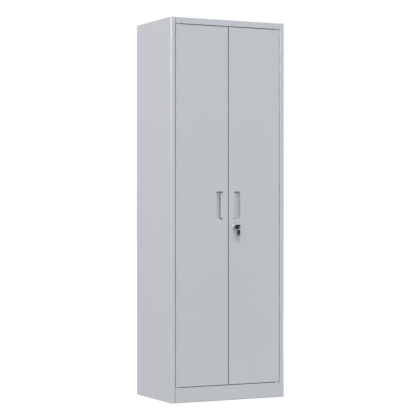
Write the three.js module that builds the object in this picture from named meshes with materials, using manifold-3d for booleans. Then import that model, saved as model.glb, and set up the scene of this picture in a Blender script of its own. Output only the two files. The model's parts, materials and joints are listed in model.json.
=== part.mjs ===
// A two-door storage cabinet of folded sheet steel: a welded carcass with four shelves on clips, two doors
// on pivot pins with recessed pulls, and a rod lock with a folding key and a spare on a ring.
// Millimetres, +Z up, the front towards -Y.

import * as THREE from 'three';
import { mergeGeometries, mergeVertices } from 'three/addons/utils/BufferGeometryUtils.js';
import Module from 'manifold-3d';

const wasm = await Module();
wasm.setup();

// Driving sizes

const overall = { width: 600, depth: 400, height: 1800 };
const sheet = { thickness: 0.8, bend: 1.2, seam: 0.3 };
const side = { foldRadius: 3, postWidth: 22.8, postDepth: 25.5, postLip: 12, rearReturn: 18, endFlange: 18 };
const header = { height: 30, rearFlange: 15 };
const plinth = { height: 70, footReturn: 18 };
const stop = { depth: 25.2, height: 12 };
const back = { flange: 8, ribDepth: 5, ribWidth: 24, ribSlope: 6, ribCount: 3 };
const floor = { flange: 20, lip: 10 };
const shelf = { count: 4, height: 25, lip: 12, frontGap: 6, backGap: 4, sideGap: 3, radius: 1.6 };
const rail = { width: 24, depth: 10, frontInset: 9, backInset: 18, footGap: 12 };
const slot = { pitch: 50, width: 14, height: 9 };
const clip = { width: 12, thickness: 1.2, bend: 0.8, hook: 6, drop: 8, reach: 14 };
const door = { depth: 20, sideGap: 2.5, centreGap: 4, endGap: 3, lip: 12, radius: 1.6 };
const stiffener = { crown: 30, foot: 12, depth: 15, slope: 4, endGap: 40 };
const hinge = { inset: 12, setback: 7, pinRadius: 2.5, headRadius: 4, headHeight: 2, reach: 8 };
const bush = { wall: 1.2, clearance: 0.3, flangeRadius: 5.5, length: 6 };
const pull = { width: 34, height: 135, depth: 16, fromEdge: 27.4, centreHeight: 920.5 };
const cup = { flange: 6, endDraft: 7, sideDraft: 2, corner: 4 };
const grip = { width: 10.5, fall: 2.4, curl: 3, endGap: 9 };
const magnet = { width: 40, height: 9, fromEdge: 40, airGap: 0.5, strikeThickness: 0.8 };
const lock = { fromEdge: 25, underPull: 27, barrelRadius: 8.5, barrelDepth: 12 };
const rose = { radius: 10, height: 2.3 };
const plug = { radius: 6, play: 0.3, proud: 0.2, tailSide: 4.4, tailEnd: 0.5 };
const nut = { acrossFlats: 22, thickness: 4 };
const cam = { pinCircle: 10, swing: 90, pinRadius: 1.5, pinPlay: 0.4, rim: 2.6, thickness: 2, backGap: 0.8 };
const rod = { thickness: 2, frontDepth: 14.3, width: 10, play: 0.4, tipInset: 2.2, ledgePlay: 1.5 };
const guide = { length: 16, foot: 6, sheet: 1, bend: 0.8, play: 0.6, fromEnd: 150 };
const key = { reach: 14, inPlug: 11, bevel: 2, shoulder: 9, shoulderLength: 7.3 };
const blade = { thickness: 2, height: 6.4 };
const knuckle = { radius: 2, height: 4, pinRadius: 1, forkWall: 2, play: 0.3, throat: 0.6 };
const bow = { length: 27, endHeight: 20, thickness: 4, flareStart: 2.5, flareEnd: 10, corner: 3 };
const eye = { inset: 6, radius: 3.4, play: 0.45 };
const ring = { radius: 9, wire: 0.9 };
const spareTwist = 38;

// Small allowances and the fineness of round stretches
const overrun = 1;
const steps = { bend: 3, corner: 3, bar: 20, pin: 12, knuckle: 16, lock: 32, hole: 12 };
const outlineSteps = { cam: 6, rod: 5, bow: 10 };
const ringSteps = { wire: 8, round: 28 };
const hexagon = 6;

// Places that follow from the sizes

const halfWidth = overall.width / 2;
const frontY = -overall.depth / 2;
const backY = overall.depth / 2;
const insideX = halfWidth - sheet.thickness - sheet.seam;
const postX = halfWidth - side.postWidth;
const betweenPosts = postX - sheet.seam;
const ledgeTopZ = overall.height - header.height;
const doorBottomZ = plinth.height + door.endGap;
const doorTopZ = ledgeTopZ - door.endGap;
const doorHeight = doorTopZ - doorBottomZ;
const doorWidth = postX - door.sideGap - door.centreGap / 2;
const doorInnerY = frontY + sheet.thickness + sheet.seam;
const floorTopZ = plinth.height + stop.height + sheet.seam + sheet.thickness;
const stopBackY = frontY + stop.depth + sheet.thickness;
const backFaceY = backY - sheet.thickness - sheet.seam;
const backFrontY = backFaceY - Math.max(back.flange, back.ribDepth + sheet.thickness);
const pivotX = postX - door.sideGap - hinge.inset;
const pivotY = frontY + hinge.setback;
const lockX = door.centreGap / 2 + lock.fromEdge;
const lockZ = pull.centreHeight - pull.height / 2 - cup.flange - lock.underPull;
const pullX = door.centreGap / 2 + pull.fromEdge + pull.width / 2;
const halfSwing = THREE.MathUtils.degToRad(cam.swing / 2);
const pinRise = cam.pinCircle * Math.sin(halfSwing);
const pinNearX = cam.pinCircle * Math.cos(halfSwing);
const rodOffset = (cam.pinCircle + pinNearX) / 2;
const rodBackDepth = rod.frontDepth + rod.thickness;
const camFrontDepth = rodBackDepth + cam.backGap;
const railX = insideX - rail.depth;
const railFrontY = stopBackY + rail.frontInset;
const railBackY = backFrontY - rail.backInset - rail.width;
const railBottomZ = floorTopZ + rail.footGap;
const railTopZ = overall.height - 2 * sheet.thickness - 2 * sheet.seam;
const shelfHalfWidth = railX - shelf.sideGap;
const shelfFrontY = stopBackY + shelf.frontGap;
const shelfBackY = backFrontY - shelf.backGap;

// Materials

const paint = new THREE.MeshStandardMaterial({ color: 0xc3c8cc, roughness: 0.55, metalness: 0.1 });
const zinc = new THREE.MeshStandardMaterial({ color: 0xb4b8bb, roughness: 0.35, metalness: 0.9 });
const chrome = new THREE.MeshStandardMaterial({ color: 0xdfe2e4, roughness: 0.15, metalness: 1 });
const nickel = new THREE.MeshStandardMaterial({ color: 0xc7c5bd, roughness: 0.25, metalness: 1 });
const blackPlastic = new THREE.MeshStandardMaterial({ color: 0x111213, roughness: 0.45, metalness: 0 });
const nylon = new THREE.MeshStandardMaterial({ color: 0xe6e4dd, roughness: 0.6, metalness: 0 });
const magnetCase = new THREE.MeshStandardMaterial({ color: 0x2a2c2e, roughness: 0.6, metalness: 0 });

// Solids: joining, cutting and keeping

function solidOf(geometry) {
  const bare = geometry.clone();
  bare.deleteAttribute('normal');
  bare.deleteAttribute('uv');
  const merged = mergeVertices(bare);
  const vertProperties = new Float32Array(merged.attributes.position.array);
  const triVerts = new Uint32Array(merged.index.array);
  return new wasm.Manifold(new wasm.Mesh({ numProp: 3, vertProperties, triVerts }));
}

function geometryOf(solid) {
  const mesh = solid.getMesh();
  const geometry = new THREE.BufferGeometry();
  geometry.setAttribute('position', new THREE.BufferAttribute(mesh.vertProperties, 3));
  geometry.setIndex(new THREE.BufferAttribute(mesh.triVerts, 1));
  const flat = geometry.toNonIndexed();
  flat.computeVertexNormals();
  return flat;
}

function joined(...geometries) {
  return geometryOf(geometries.map(solidOf).reduce((whole, piece) => whole.add(piece)));
}

function cut(geometry, ...cutters) {
  const start = solidOf(geometry);
  return geometryOf(cutters.map(solidOf).reduce((whole, cutter) => whole.subtract(cutter), start));
}

function common(...geometries) {
  return geometryOf(geometries.map(solidOf).reduce((whole, piece) => whole.intersect(piece)));
}

// The same form on the other side of the cabinet, with its faces turned back out
function mirrored(geometry) {
  const copy = geometry.index ? geometry.toNonIndexed() : geometry.clone();
  copy.scale(-1, 1, 1);
  const place = copy.attributes.position;
  for (let corner = 0; corner < place.count; corner += 3) {
    const a = new THREE.Vector3().fromBufferAttribute(place, corner);
    const b = new THREE.Vector3().fromBufferAttribute(place, corner + 1);
    place.setXYZ(corner, b.x, b.y, b.z);
    place.setXYZ(corner + 1, a.x, a.y, a.z);
  }
  copy.computeVertexNormals();
  return copy;
}

// Shapes and extrusions

const axisX = new THREE.Vector3(1, 0, 0);
const axisY = new THREE.Vector3(0, 1, 0);
const axisZ = new THREE.Vector3(0, 0, 1);

function extrudedUp(shape, fromZ, toZ, curveSegments = steps.corner) {
  const depth = toZ - fromZ;
  const geometry = new THREE.ExtrudeGeometry(shape, { depth, bevelEnabled: false, curveSegments });
  return geometry.translate(0, 0, fromZ);
}

// The shape's own axes are Y and Z, and it runs along X
function extrudedAcross(shape, fromX, toX, curveSegments) {
  const geometry = extrudedUp(shape, fromX, toX, curveSegments);
  return geometry.applyMatrix4(new THREE.Matrix4().makeBasis(axisY, axisZ, axisX));
}

// The shape's own axes are X and Z, and it runs from front to back
function extrudedBack(shape, fromY, toY, curveSegments) {
  const geometry = extrudedUp(shape, -toY, -fromY, curveSegments);
  return geometry.applyMatrix4(new THREE.Matrix4().makeBasis(axisX, axisZ, axisY.clone().negate()));
}

function boxBetween(low, high) {
  const size = high.map((value, axis) => value - low[axis]);
  const middle = high.map((value, axis) => (value + low[axis]) / 2);
  return new THREE.BoxGeometry(...size).translate(...middle);
}

// A round bar along X, Y or Z
function bar(radius, from, to, axis, segments = steps.bar) {
  const geometry = new THREE.CylinderGeometry(radius, radius, to - from, segments);
  geometry.translate(0, (from + to) / 2, 0);
  if (axis === axisZ) geometry.rotateX(Math.PI / 2);
  if (axis === axisX) geometry.rotateZ(-Math.PI / 2);
  return geometry;
}

// A ring turned about Z from a closed profile of radius and height, given anticlockwise
function turned(profile, segments = steps.bar) {
  const points = profile.map(([radius, height]) => new THREE.Vector2(radius, height));
  points.push(points[0].clone());
  return new THREE.LatheGeometry(points, segments).rotateX(Math.PI / 2);
}

function roundedRectangle(halfX, halfZ, radius, middleX = 0, middleZ = 0) {
  const shape = new THREE.Shape();
  shape.absarc(middleX + halfX - radius, middleZ + halfZ - radius, radius, 0, Math.PI / 2);
  shape.absarc(middleX - halfX + radius, middleZ + halfZ - radius, radius, Math.PI / 2, Math.PI);
  shape.absarc(middleX - halfX + radius, middleZ - halfZ + radius, radius, Math.PI, Math.PI * 1.5);
  shape.absarc(middleX + halfX - radius, middleZ - halfZ + radius, radius, Math.PI * 1.5, Math.PI * 2);
  return shape;
}

// The cross-section of a folded strip. The path runs along one face, the sheet lies to its left, and every
// corner becomes a bend with the inner radius given.
function foldedShape(path, thickness = sheet.thickness, innerRadius = sheet.bend) {
  const corners = path.map(([x, y]) => new THREE.Vector2(x, y));
  const leftOf = (direction) => new THREE.Vector2(-direction.y, direction.x);
  const face = [];
  const rear = [];
  corners.forEach((corner, index) => {
    const before = index > 0 ? corner.clone().sub(corners[index - 1]).normalize() : null;
    const after = index < corners.length - 1 ? corners[index + 1].clone().sub(corner).normalize() : null;
    if (!before || !after) {
      face.push(corner);
      rear.push(corner.clone().addScaledVector(leftOf(before ?? after), thickness));
      return;
    }
    const turn = Math.atan2(before.cross(after), before.dot(after));
    const hand = Math.sign(turn);
    const faceRadius = hand > 0 ? innerRadius + thickness : innerRadius;
    const rearRadius = hand > 0 ? innerRadius : innerRadius + thickness;
    const start = corner.clone().addScaledVector(before, -faceRadius * Math.tan(Math.abs(turn) / 2));
    const centre = start.clone().addScaledVector(leftOf(before), hand * faceRadius);
    for (let step = 0; step <= steps.bend; step += 1) {
      const sweep = (turn * step) / steps.bend;
      const spoke = leftOf(before).multiplyScalar(-hand).rotateAround(new THREE.Vector2(), sweep);
      face.push(centre.clone().addScaledVector(spoke, faceRadius));
      rear.push(centre.clone().addScaledVector(spoke, rearRadius));
    }
  });
  return new THREE.Shape([...face, ...rear.reverse()]);
}

// A rectangle whose two lower corners are rounded: the outline of a pan seen along one of its folds
function panOutline(half, depth, radius) {
  const shape = new THREE.Shape();
  shape.moveTo(half, depth);
  shape.lineTo(-half, depth);
  shape.absarc(-half + radius, radius, radius, Math.PI, Math.PI * 1.5);
  shape.absarc(half - radius, radius, radius, Math.PI * 1.5, Math.PI * 2);
  return shape;
}

function panBlock(halfX, halfY, depth, radius) {
  const alongY = extrudedUp(panOutline(halfX, depth, radius), -halfY, halfY).rotateX(Math.PI / 2);
  const alongX = extrudedAcross(panOutline(halfY, depth, radius), -halfX, halfX);
  return common(alongY, alongX);
}

// A sheet folded up on all four sides with a lip turned in: its face is at z = 0, its walls rise to the depth
function pan(halfX, halfY, depth, lip, radius) {
  const t = sheet.thickness;
  const outer = panBlock(halfX, halfY, depth, radius + t);
  const inner = panBlock(halfX - t, halfY - t, depth - 2 * t, radius).translate(0, 0, t);
  const windowLow = [-halfX + lip, -halfY + lip, depth / 2];
  const windowHigh = [halfX - lip, halfY - lip, depth + overrun];
  return cut(outer, inner, boxBetween(windowLow, windowHigh));
}

// A solid that changes evenly from one outline to another with the same points
function loft(startShape, endShape, depth) {
  const geometry = extrudedUp(startShape, 0, depth);
  const starts = startShape.extractPoints(steps.corner).shape;
  const ends = endShape.extractPoints(steps.corner).shape;
  const place = geometry.attributes.position;
  for (let index = 0; index < place.count; index += 1) {
    if (place.getZ(index) < depth / 2) continue;
    const here = new THREE.Vector2(place.getX(index), place.getY(index));
    const match = starts.reduce((best, point, at) => (
      point.distanceTo(here) < starts[best].distanceTo(here) ? at : best), 0);
    place.setXY(index, ends[match].x, ends[match].y);
  }
  return geometry;
}

function piece(name, geometry, material, parent, place = [0, 0, 0]) {
  const mesh = new THREE.Mesh(geometry, material);
  mesh.name = name;
  mesh.position.set(...place);
  parent.add(mesh);
  return mesh;
}

function groupAt(parent, x = 0, y = 0, z = 0) {
  const group = new THREE.Group();
  group.position.set(x, y, z);
  parent.add(group);
  return group;
}

// Each side is one sheet: rear return, wall, rounded fold, post face, post wall and lip, flanged at each end
function sidePanel() {
  const path = [
    [-halfWidth + side.rearReturn, backY],
    [-halfWidth, backY],
    [-halfWidth, frontY],
    [-postX, frontY],
    [-postX, frontY + side.postDepth],
    [-postX - side.postLip, frontY + side.postDepth],
  ];
  const topZ = overall.height - sheet.thickness - sheet.seam;
  const walls = extrudedUp(foldedShape(path, sheet.thickness, side.foldRadius - sheet.thickness), 0, topZ);
  const flangeLow = [-halfWidth + sheet.thickness / 2, frontY + side.foldRadius, 0];
  const flangeHigh = [-halfWidth + side.endFlange, backY - side.foldRadius, sheet.thickness];
  const foot = boxBetween(flangeLow, flangeHigh);
  const head = foot.clone().translate(0, 0, topZ - sheet.thickness);
  return joined(walls, foot, head);
}

// The back is a tray with forward flanges and upright swaged ribs
function backPanel() {
  const path = [[insideX, backFaceY - back.flange], [insideX, backFaceY]];
  const pitch = (2 * insideX) / (back.ribCount + 1);
  for (let rib = back.ribCount; rib > 0; rib -= 1) {
    const middle = -insideX + rib * pitch;
    const half = back.ribWidth / 2;
    path.push([middle + half + back.ribSlope, backFaceY]);
    path.push([middle + half, backFaceY - back.ribDepth]);
    path.push([middle - half, backFaceY - back.ribDepth]);
    path.push([middle - half - back.ribSlope, backFaceY]);
  }
  path.push([-insideX, backFaceY], [-insideX, backFaceY - back.flange]);
  const bottomZ = sheet.thickness + sheet.seam;
  const topZ = overall.height - 2 * sheet.thickness - 2 * sheet.seam;
  return extrudedUp(foldedShape(path), bottomZ, topZ);
}

function pinHole(x, fromZ, toZ) {
  return bar(hinge.pinRadius + bush.clearance, fromZ, toZ, axisZ).translate(x, pivotY, 0);
}

// Where a lock rod's tip passes a ledge
function rodSlot(x, fromZ, toZ, play) {
  const middleY = frontY + rod.frontDepth + rod.thickness / 2;
  const halfX = rod.width / 2 + play;
  const halfY = rod.thickness / 2 + play;
  return boxBetween([x - halfX, middleY - halfY, fromZ], [x + halfX, middleY + halfY, toZ]);
}

// The top is one sheet: rear flange, cover, header, ledge over the doors and the stop behind them
function topPanel() {
  const stopY = frontY + stop.depth;
  const path = [
    [backY, overall.height - header.rearFlange],
    [backY, overall.height],
    [frontY, overall.height],
    [frontY, ledgeTopZ],
    [stopY, ledgeTopZ],
    [stopY, ledgeTopZ - stop.height],
  ];
  const folded = extrudedAcross(foldedShape(path), -betweenPosts, betweenPosts);
  const edge = roundedRectangle(halfWidth, overall.depth / 2, side.foldRadius);
  const cover = extrudedUp(edge, overall.height - sheet.thickness, overall.height);
  const inset = boxBetween(
    [-betweenPosts, frontY - overrun, overall.height - sheet.thickness - overrun],
    [betweenPosts, frontY + 2 * side.foldRadius, overall.height + overrun],
  );
  const low = ledgeTopZ - overrun;
  const high = ledgeTopZ + sheet.thickness + overrun;
  return cut(
    joined(folded, cut(cover, inset)),
    pinHole(-pivotX, low, high),
    pinHole(pivotX, low, high),
    rodSlot(lockX - rodOffset, low, high, rod.ledgePlay),
  );
}

// The plinth is one strip: foot return, front, ledge under the doors and the stop behind them
function plinthPanel() {
  const stopY = frontY + stop.depth;
  const path = [
    [stopY, plinth.height + stop.height],
    [stopY, plinth.height],
    [frontY, plinth.height],
    [frontY, 0],
    [frontY + plinth.footReturn, 0],
  ];
  const folded = extrudedAcross(foldedShape(path), -betweenPosts, betweenPosts);
  const low = plinth.height - sheet.thickness - overrun;
  const high = plinth.height + overrun;
  return cut(
    folded,
    pinHole(-pivotX, low, high),
    pinHole(pivotX, low, high),
    rodSlot(lockX + rodOffset, low, high, rod.ledgePlay),
  );
}

// A tray with its face up: the cabinet's floor and its shelves
function tray(halfX, depthY, height, lip, radius) {
  return pan(halfX, depthY / 2, height, lip, radius).rotateX(Math.PI);
}

// Slots repeat up each rail from half a pitch above its foot
const slotCount = Math.floor((railTopZ - railBottomZ) / slot.pitch);
const slotZ = (index) => railBottomZ + slot.pitch * (index + 0.5);

function railStrip() {
  const path = [
    [-insideX, 0],
    [-railX, 0],
    [-railX, rail.width],
    [-insideX, rail.width],
  ];
  const strip = extrudedUp(foldedShape(path), railBottomZ, railTopZ);
  const middle = rail.width / 2;
  const slots = Array.from({ length: slotCount }, (_, index) => boxBetween(
    [-railX - 2 * sheet.thickness, middle - slot.width / 2, slotZ(index) - slot.height / 2],
    [-railX + overrun, middle + slot.width / 2, slotZ(index) + slot.height / 2],
  ));
  return cut(strip, mergeGeometries(slots));
}

// A bent tab: a hook behind the rail's web, through a slot, down the web and out under the shelf.
// Its origin is where the shelf rests, on the rail's face.
function clipTab() {
  const webBack = -sheet.thickness - sheet.seam;
  const webFront = sheet.seam;
  const passZ = clip.drop;
  const t = clip.thickness;
  const shape = new THREE.Shape();
  shape.moveTo(clip.reach, -t);
  shape.lineTo(clip.reach, 0);
  shape.lineTo(webFront + t + clip.bend, 0);
  shape.absarc(webFront + t + clip.bend, clip.bend, clip.bend, Math.PI * 1.5, Math.PI, true);
  shape.lineTo(webFront + t, passZ + t);
  shape.lineTo(webBack, passZ + t);
  shape.lineTo(webBack, passZ + clip.hook);
  shape.lineTo(webBack - t, passZ + clip.hook);
  shape.lineTo(webBack - t, passZ);
  shape.lineTo(webFront, passZ);
  shape.lineTo(webFront, clip.bend);
  shape.absarc(webFront + t + clip.bend, clip.bend, t + clip.bend, Math.PI, Math.PI * 1.5);
  return extrudedBack(shape, -clip.width / 2, clip.width / 2);
}

// Doors are built about their hinge edge: x runs from it towards the middle of the cabinet

const hingeEdgeX = postX - door.sideGap;
const doorMiddleZ = (doorBottomZ + doorTopZ) / 2;

function doorPanel(holes) {
  const body = pan(doorWidth / 2, doorHeight / 2, door.depth, door.lip, door.radius);
  body.rotateX(-Math.PI / 2);
  body.translate(doorWidth / 2, frontY, doorMiddleZ);
  const bore = hinge.pinRadius + bush.clearance + bush.wall + sheet.seam;
  const hole = bar(bore, doorBottomZ - overrun, doorBottomZ + 2 * sheet.thickness, axisZ);
  hole.translate(hinge.inset, pivotY, 0);
  const upper = hole.clone().translate(0, 0, doorHeight - sheet.thickness);
  return cut(body, hole, upper, ...holes);
}

function fromHingeEdge(x) {
  return hingeEdgeX - x;
}

function pullHole() {
  const outline = roundedRectangle(pull.width / 2, pull.height / 2, cup.corner, 0, pull.centreHeight);
  const hole = extrudedBack(outline, frontY - overrun, frontY + 2 * sheet.thickness);
  return hole.translate(fromHingeEdge(pullX), 0, 0);
}

// The pressed cup behind the door's cut-out. Its outer wall and ends slope in, and a sloping grip with a
// curled edge covers the side nearest the other door. The middle of its mouth is at the origin, and +X is
// the grip's side.
function pullCup() {
  const t = sheet.thickness;
  const halfX = pull.width / 2;
  const halfZ = pull.height / 2;
  const mouth = (extra) => roundedRectangle(halfX + extra, halfZ + extra, cup.corner + extra);
  const base = (extra) => roundedRectangle(
    halfX - cup.sideDraft + extra, halfZ - cup.endDraft + extra, cup.corner + extra, cup.sideDraft, 0);
  const deep = pull.depth - t - sheet.seam;
  const toDoor = new THREE.Matrix4().makeBasis(axisX, axisZ.clone().negate(), axisY);
  const outer = loft(mouth(t), base(t), deep).applyMatrix4(toDoor);
  const inner = loft(mouth(0), base(0), deep - t).applyMatrix4(toDoor);
  const rimShape = roundedRectangle(halfX + cup.flange, halfZ + cup.flange, cup.corner + cup.flange);
  const rim = extrudedBack(rimShape, 0, t);
  const shell = cut(joined(outer, rim), inner, extrudedBack(mouth(0), -overrun, t / 2));
  const slope = [
    [halfX - grip.width, grip.fall + grip.curl],
    [halfX - grip.width, grip.fall],
    [halfX + t, 0],
  ];
  const gripHalf = halfZ - grip.endGap;
  const lip = extrudedUp(foldedShape(slope, t, t), -gripHalf, gripHalf);
  return joined(shell, lip).translate(0, doorInnerY, pull.centreHeight);
}

function doorStiffener() {
  const crownY = doorInnerY + stiffener.depth;
  const half = stiffener.crown / 2;
  const path = [
    [-half - stiffener.slope - stiffener.foot, doorInnerY],
    [-half - stiffener.slope, doorInnerY],
    [-half, crownY],
    [half, crownY],
    [half + stiffener.slope, doorInnerY],
    [half + stiffener.slope + stiffener.foot, doorInnerY],
  ];
  return extrudedUp(foldedShape(path), doorBottomZ + stiffener.endGap, doorTopZ - stiffener.endGap);
}

// A pivot pin with its rivet head beyond the ledge, pointing up from the ledge face at z = 0
function hingePin() {
  const under = -sheet.thickness - sheet.seam;
  const profile = [
    [0, under - hinge.headHeight],
    [hinge.headRadius, under - hinge.headHeight],
    [hinge.headRadius, under],
    [hinge.pinRadius, under],
    [hinge.pinRadius, hinge.reach],
    [0, hinge.reach],
  ];
  const points = profile.map(([radius, height]) => new THREE.Vector2(radius, height));
  return new THREE.LatheGeometry(points, steps.bar).rotateX(Math.PI / 2);
}

// A flanged bush in the door's end, its flange in the gap to the ledge face at z = 0
function hingeBush() {
  const inner = hinge.pinRadius + bush.clearance;
  const outer = inner + bush.wall;
  const flangeTop = door.endGap - sheet.seam;
  const top = flangeTop + bush.length;
  return turned([
    [inner, sheet.seam],
    [bush.flangeRadius, sheet.seam],
    [bush.flangeRadius, flangeTop],
    [outer, flangeTop],
    [outer, top],
    [inner, top],
  ]);
}

// Lock pieces stand about the lock's axis, with y = 0 on the door's face

const toDoorAxis = (geometry) => geometry.rotateX(-Math.PI / 2);

function lockBarrel() {
  const bore = plug.radius + plug.play;
  const roseFace = sheet.seam + rose.height;
  const chamfer = rose.height / 2;
  return toDoorAxis(turned([
    [bore, -roseFace],
    [rose.radius - chamfer, -roseFace],
    [rose.radius, -roseFace + chamfer],
    [rose.radius, -sheet.seam],
    [lock.barrelRadius, -sheet.seam],
    [lock.barrelRadius, lock.barrelDepth],
    [bore, lock.barrelDepth],
  ], steps.lock));
}

function lockNut() {
  const corner = nut.acrossFlats / Math.sqrt(3);
  const shape = new THREE.Shape();
  for (let index = 0; index < hexagon; index += 1) {
    const angle = (index * 2 * Math.PI) / hexagon;
    shape[index ? 'lineTo' : 'moveTo'](corner * Math.cos(angle), corner * Math.sin(angle));
  }
  const hole = new THREE.Path();
  hole.absarc(0, 0, lock.barrelRadius + sheet.seam, 0, Math.PI * 2, true);
  shape.holes.push(hole);
  const near = sheet.thickness + sheet.seam;
  return extrudedBack(shape, near, near + nut.thickness, steps.hole);
}

function lockPlug() {
  const faceY = -sheet.seam - rose.height - plug.proud;
  const body = bar(plug.radius, faceY, lock.barrelDepth + sheet.seam, axisY, steps.lock);
  const half = plug.tailSide / 2;
  const tail = boxBetween(
    [-half, lock.barrelDepth, -half],
    [half, camFrontDepth + cam.thickness + plug.tailEnd, half],
  );
  const keyway = boxBetween(
    [-blade.thickness / 2 - knuckle.play, faceY - overrun, -blade.height / 2 - knuckle.play],
    [blade.thickness / 2 + knuckle.play, key.inPlug + faceY + knuckle.play, blade.height / 2 + knuckle.play],
  );
  return cut(joined(body, tail), keyway);
}

// The cam bar with its two pins, at rest: the left pin low and the right pin high
function lockCam() {
  const radius = cam.pinRadius + cam.rim;
  const shape = new THREE.Shape();
  shape.absarc(cam.pinCircle, 0, radius, -Math.PI / 2, Math.PI / 2);
  shape.absarc(-cam.pinCircle, 0, radius, Math.PI / 2, Math.PI * 1.5);
  const plate = extrudedBack(shape, camFrontDepth, camFrontDepth + cam.thickness, outlineSteps.cam);
  const half = plug.tailSide / 2 + sheet.seam;
  const eyeHole = boxBetween(
    [-half, camFrontDepth - overrun, -half],
    [half, camFrontDepth + cam.thickness + overrun, half],
  );
  const pinTip = rod.frontDepth - rod.play;
  const pin = bar(cam.pinRadius, pinTip, camFrontDepth + cam.thickness / 2, axisY, steps.pin);
  const rightPin = pin.clone().translate(cam.pinCircle, 0, 0);
  const leftPin = pin.clone().translate(-cam.pinCircle, 0, 0);
  // The eye sits square on the plug's tail while the bar is at rest
  return cut(joined(plate, rightPin, leftPin), eyeHole.rotateY(halfSwing));
}

// A flat rod whose slot at z = 0 takes the cam's pin. It runs up to the tip.
function lockRod(tipZ) {
  const slotHalfZ = cam.pinRadius + cam.pinPlay;
  const slotHalfX = (cam.pinCircle - pinNearX) / 2 + slotHalfZ;
  const headHalf = Math.max(slotHalfX + cam.rim / 2, rod.width / 2);
  const shoulder = slotHalfZ + cam.rim + headHalf;
  const shape = new THREE.Shape();
  shape.moveTo(-headHalf, -slotHalfZ - cam.rim);
  shape.lineTo(headHalf, -slotHalfZ - cam.rim);
  shape.lineTo(headHalf, shoulder);
  shape.lineTo(rod.width / 2, shoulder + cam.rim);
  shape.lineTo(rod.width / 2, tipZ - rod.width / 2);
  shape.absarc(0, tipZ - rod.width / 2, rod.width / 2, 0, Math.PI);
  shape.lineTo(-rod.width / 2, shoulder + cam.rim);
  shape.lineTo(-headHalf, shoulder);
  const pinSlot = new THREE.Path();
  const run = slotHalfX - slotHalfZ;
  pinSlot.absarc(run, 0, slotHalfZ, -Math.PI / 2, Math.PI / 2);
  pinSlot.absarc(-run, 0, slotHalfZ, Math.PI / 2, Math.PI * 1.5);
  shape.holes.push(pinSlot);
  return extrudedBack(shape, rod.frontDepth, rodBackDepth, outlineSteps.rod);
}

// A strap over a rod, its two feet on the back of the door's face
function rodGuide() {
  const bridgeY = rodBackDepth + guide.play;
  const half = rod.width / 2 + guide.play;
  const feetY = sheet.thickness + sheet.seam;
  const path = [
    [-half - guide.foot, feetY],
    [-half, feetY],
    [-half, bridgeY],
    [half, bridgeY],
    [half, feetY],
    [half + guide.foot, feetY],
  ];
  return extrudedUp(foldedShape(path, guide.sheet, guide.bend), -guide.length / 2, guide.length / 2);
}

// Keys are built about their folding pin: the blade runs to +Y and the bow to +X

const forkHalf = knuckle.height / 2 + knuckle.play + knuckle.forkWall;

function keyBlade() {
  const plugFace = key.reach - sheet.seam - rose.height - plug.proud;
  const shoulderEnd = plugFace - sheet.seam;
  const shoulderStart = shoulderEnd - key.shoulderLength;
  const tip = plugFace + key.inPlug;
  const half = blade.height / 2;
  const outline = [
    [0, -knuckle.height / 2],
    [shoulderStart, -knuckle.height / 2],
    [shoulderStart, -key.shoulder / 2],
    [shoulderEnd, -key.shoulder / 2],
    [shoulderEnd, -half],
    [tip - key.bevel, -half],
    [tip, -half + key.bevel],
    [tip, half - key.bevel],
    [tip - key.bevel, half],
    [shoulderEnd, half],
    [shoulderEnd, key.shoulder / 2],
    [shoulderStart, key.shoulder / 2],
    [shoulderStart, knuckle.height / 2],
    [0, knuckle.height / 2],
  ];
  const shape = new THREE.Shape(outline.map(([y, z]) => new THREE.Vector2(y, z)));
  const flat = extrudedAcross(shape, -blade.thickness / 2, blade.thickness / 2);
  const barrel = bar(knuckle.radius, -knuckle.height / 2, knuckle.height / 2, axisZ, steps.knuckle);
  const pin = bar(knuckle.pinRadius, -forkHalf, forkHalf, axisZ, steps.pin);
  return joined(flat, barrel, pin);
}

function keyBow() {
  const half = bow.endHeight / 2;
  const r = bow.corner;
  const shape = new THREE.Shape();
  shape.moveTo(-bow.thickness, -forkHalf);
  shape.lineTo(bow.flareStart, -forkHalf);
  shape.lineTo(bow.flareEnd, -half);
  shape.absarc(bow.length - r, -half + r, r, -Math.PI / 2, 0);
  shape.absarc(bow.length - r, half - r, r, 0, Math.PI / 2);
  shape.lineTo(bow.flareEnd, half);
  shape.lineTo(bow.flareStart, forkHalf);
  shape.lineTo(-bow.thickness, forkHalf);
  const hole = new THREE.Path();
  hole.absarc(bow.length - eye.inset, 0, eye.radius, 0, Math.PI * 2, true);
  shape.holes.push(hole);
  const plate = extrudedBack(shape, -bow.thickness / 2, bow.thickness / 2, outlineSteps.bow);
  const plan = new THREE.Shape();
  plan.absarc(0, 0, bow.thickness / 2, Math.PI / 2, Math.PI * 1.5);
  plan.lineTo(bow.length + overrun, -bow.thickness / 2);
  plan.lineTo(bow.length + overrun, bow.thickness / 2);
  const rounded = common(plate, extrudedUp(plan, -half - overrun, half + overrun));
  const throatZ = knuckle.height / 2 + knuckle.play;
  const throat = boxBetween(
    [-bow.thickness, -bow.thickness, -throatZ],
    [knuckle.radius + knuckle.throat, bow.thickness, throatZ],
  );
  const boreHalf = forkHalf + overrun;
  const bore = bar(knuckle.pinRadius + knuckle.play, -boreHalf, boreHalf, axisZ, steps.pin);
  return cut(rounded, throat, bore);
}

// The assembly. Its origin is under the middle of everything, key included.

const cabinet = new THREE.Group();
const keyReach = key.reach + ring.radius + ring.wire;
const whole = groupAt(cabinet, 0, keyReach / 2, 0);

const carcass = groupAt(whole);
const leftSide = sidePanel();
piece('left_side_panel', leftSide, paint, carcass);
piece('right_side_panel', mirrored(leftSide), paint, carcass);
piece('back_panel', backPanel(), paint, carcass);
piece('top_panel', topPanel(), paint, carcass);
piece('plinth', plinthPanel(), paint, carcass);

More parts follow.
